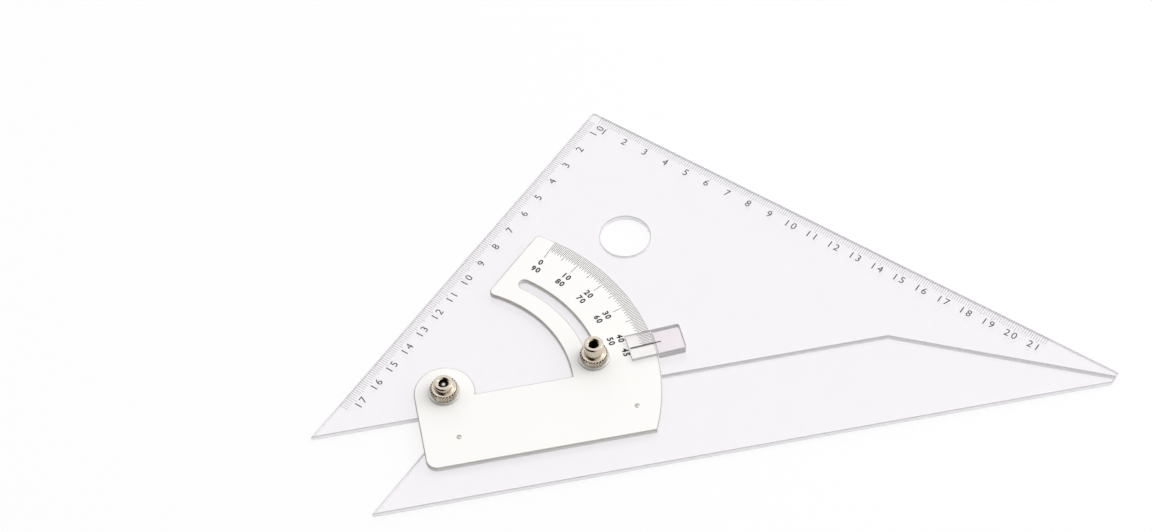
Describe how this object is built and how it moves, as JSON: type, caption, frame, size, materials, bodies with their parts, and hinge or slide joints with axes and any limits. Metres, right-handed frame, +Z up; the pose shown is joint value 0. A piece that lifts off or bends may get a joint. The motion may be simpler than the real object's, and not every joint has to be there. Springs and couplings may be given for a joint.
{
  "type": "adjustable set square",
  "caption": "Adjustable set square: clear base and swing blades on a pivot, white protractor plate with curved slot, knurled thumb nuts and a clear cursor.",
  "frame": {"origin": "under the middle of the closed square, on the surface it lies on", "axes": "+X along the working edge towards the blunt tip, +Y from the working edge towards the 90 degree corner, +Z up out of the protractor plate"},
  "size_m": [0.3082, 0.175, 0.0141],
  "materials": {
    "clear_acrylic": "polished",
    "cursor_acrylic": "polished",
    "white_plastic": "satin",
    "pin_steel": "satin",
    "screw_steel": "satin",
    "washer_steel": "polished",
    "nickel": "polished"
  },
  "bodies": {
    "base": {"base_blade": "clear_acrylic", "protractor_plate": "white_plastic", "plate_pin_left": "pin_steel", "plate_pin_right": "pin_steel"},
    "swing_arm": {"swing_blade": "clear_acrylic", "pivot_screw": "screw_steel", "pivot_washer": "washer_steel", "lock_screw": "screw_steel", "lock_washer": "washer_steel", "cursor_window": "cursor_acrylic", "cursor_foot": "cursor_acrylic"},
    "pivot_nut": {"pivot_thumb_nut": "nickel"},
    "lock_nut": {"lock_thumb_nut": "nickel"}
  },
  "joints": [
    {"name": "blade_swing", "type": "hinge", "parent": "base", "child": "swing_arm", "pos_m": [-0.10091, -0.04, 0], "axis": [0, 0, 1], "range_deg": [0, 45]},
    {"name": "pivot_nut_spin", "type": "hinge", "parent": "swing_arm", "child": "pivot_nut", "pos_m": [-0.10091, -0.04, 0.0054], "axis": [0, 0, 1], "range_deg": [0, 360]},
    {"name": "lock_nut_spin", "type": "hinge", "parent": "swing_arm", "child": "lock_nut", "pos_m": [-0.04153, -0.03616, 0.0054], "axis": [0, 0, 1], "range_deg": [0, 360]}
  ]
}
